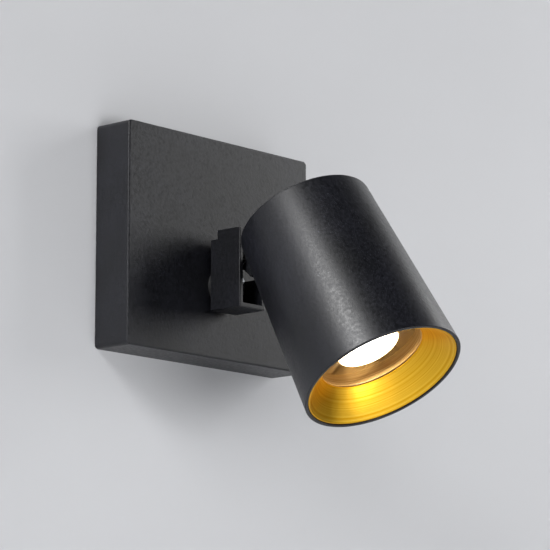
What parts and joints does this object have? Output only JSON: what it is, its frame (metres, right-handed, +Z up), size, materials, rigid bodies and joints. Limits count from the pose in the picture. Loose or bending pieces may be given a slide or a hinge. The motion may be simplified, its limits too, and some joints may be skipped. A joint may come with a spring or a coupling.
{
  "type": "pivoting spotlight wall light",
  "caption": "Black wall spotlight: a square plate carries a swivelling bracket and a tapered round head that tilts, with a gold reflector insert and a turn-and-lock lamp.",
  "frame": {"origin": "centre of the cover's open back, on the wall plane", "axes": "+Y into the wall, +Z up, +X to the right of someone who faces the wall; the head stands out along -Y"},
  "size_m": [0.117, 0.1456, 0.1381],
  "materials": {
    "black_steel": "satin black powder coat on sheet steel",
    "black_zinc": "satin black powder coat on die-cast zinc",
    "black_aluminium": "satin black powder coat on spun aluminium",
    "black_screw": "blackened steel",
    "plated_steel": "bright zinc plate",
    "nickel_pin": "nickel plate",
    "brass": "bright",
    "black_rubber": "matt",
    "nylon": "black nylon",
    "white_plastic": "matt moulded",
    "white_ceramic": "unglazed steatite",
    "bronze_aluminium": "champagne bronze anodised",
    "circuit_board": "glass-fibre circuit board",
    "white_board": "white solder mask on aluminium",
    "gold_aluminium": "satin gold anodised, spun",
    "frosted_lens": "frosted, lit from behind"
  },
  "bodies": {
    "base": {"wall_cover": "black_steel", "cover_pins": "plated_steel", "cover_screws": "black_screw", "mounting_strap": "plated_steel", "cable_bush": "black_rubber", "terminal_block": "white_plastic", "terminal_sleeves": "brass", "clamp_screws": "plated_steel", "block_screw": "plated_steel", "earth_tag": "brass", "earth_screw": "plated_steel", "swivel_washer": "nylon", "stop_stud": "plated_steel"},
    "swivel": {"bracket_foot": "black_steel", "hinge_bracket": "black_steel", "foot_dowels": "plated_steel", "swivel_nipple": "plated_steel", "spring_washer": "plated_steel", "stop_washer": "plated_steel", "swivel_locknut": "plated_steel", "pivot_screw": "black_screw", "wave_washer": "plated_steel"},
    "head": {"pivot_washers": "nylon", "knuckle": "black_zinc", "saddle_screws": "plated_steel", "head_shell": "black_aluminium", "lead_bush": "black_rubber", "back_cap": "black_aluminium", "cap_screws": "black_screw", "holder_bracket": "plated_steel", "bracket_screws": "plated_steel", "lamp_holder": "white_ceramic", "holder_screws": "plated_steel", "holder_contacts": "brass"},
    "lamp": {"lamp_base": "white_plastic", "lamp_pins": "nickel_pin", "lamp_body": "bronze_aluminium", "driver_board": "circuit_board", "led_board": "white_board", "lamp_lens": "frosted_lens"},
    "insert": {"reflector_cone": "gold_aluminium", "reflector_springs": "plated_steel"}
  },
  "joints": [
    {"name": "swivel_turn", "type": "hinge", "parent": "base", "child": "swivel", "pos_m": [0, -0.02, -0.0175], "axis": [0, -1, 0], "range_deg": [-160, 160]},
    {"name": "head_tilt", "type": "hinge", "parent": "swivel", "child": "head", "pos_m": [0, -0.0343, -0.005], "axis": [-1, 0, 0], "range_deg": [-30, 70]},
    {"name": "lamp_turn", "type": "hinge", "parent": "head", "child": "lamp", "pos_m": [0, -0.07067, 0.00714], "axis": [0, -0.5075, -0.8616], "range_deg": [0, 25]},
    {"name": "insert_pull", "type": "slide", "parent": "head", "child": "insert", "axis": [0, -0.5075, -0.8616], "range_m": [0, 0.02]}
  ]
}
